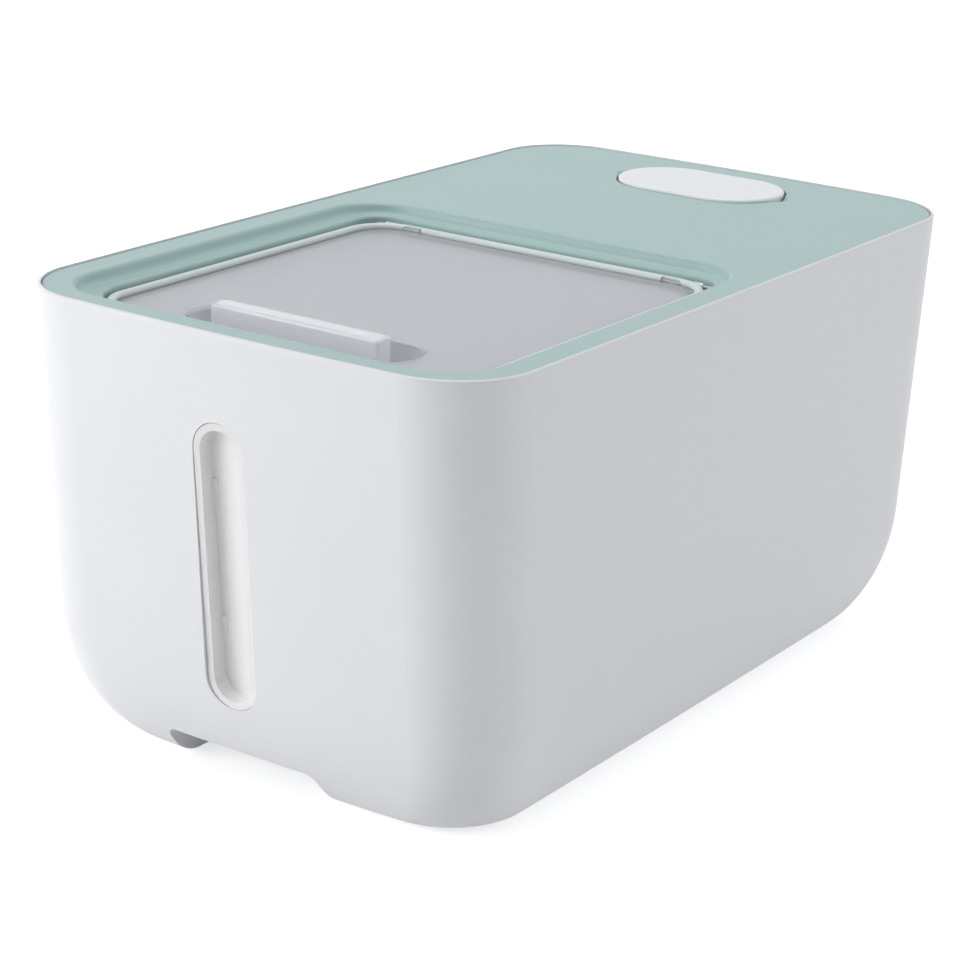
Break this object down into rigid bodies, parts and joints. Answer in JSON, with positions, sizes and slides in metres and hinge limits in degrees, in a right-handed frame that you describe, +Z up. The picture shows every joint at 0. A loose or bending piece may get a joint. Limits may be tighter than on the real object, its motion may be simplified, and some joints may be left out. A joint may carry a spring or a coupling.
{
  "type": "pet food storage container",
  "caption": "Lidded white bin for dry pet food, with a lift-off mint cover, a flip-up clear lid with a grip bar, a front level window and a capped desiccant cup.",
  "frame": {"origin": "centre of the footprint, on the floor", "axes": "+Z up, the front with the level window faces -Y, +X is to the right seen from the front"},
  "size_m": [0.2208, 0.3828, 0.1899],
  "materials": {
    "white_plastic": "fine satin moulded polypropylene",
    "mint_plastic": "fine satin moulded polypropylene",
    "clear_plastic": "clear moulded plastic",
    "window_plastic": "clear moulded plastic",
    "milky_silicone": "translucent silicone rubber",
    "pin_steel": "plain drawn pin",
    "cap_white": "satin moulded plastic",
    "sachet_paper": "porous non-woven paper"
  },
  "bodies": {
    "bin": {"outer_body": "white_plastic", "level_window": "window_plastic", "window_seal": "milky_silicone"},
    "cover": {"top_cover": "mint_plastic", "cover_seal": "milky_silicone", "hinge_pin_left": "pin_steel", "hinge_pin_right": "pin_steel"},
    "lid": {"clear_lid": "clear_plastic", "lid_edge_ring": "milky_silicone", "lid_seal": "milky_silicone"},
    "cup": {"desiccant_cup": "cap_white", "desiccant_sachet": "sachet_paper"},
    "cap": {"desiccant_cap": "cap_white", "cap_seal": "milky_silicone"}
  },
  "joints": [
    {"name": "cover_lift", "type": "slide", "parent": "bin", "child": "cover", "axis": [0, 0, 1], "range_m": [0, 0.12]},
    {"name": "lid_hinge", "type": "hinge", "parent": "cover", "child": "lid", "pos_m": [0, 0.0156, 0.1804], "axis": [-1, 0, 0], "range_deg": [0, 100]},
    {"name": "cup_lift", "type": "slide", "parent": "cover", "child": "cup", "axis": [0, 0, 1], "range_m": [0, 0.06]},
    {"name": "cap_lift", "type": "slide", "parent": "cup", "child": "cap", "axis": [0, 0, 1], "range_m": [0, 0.03]}
  ]
}
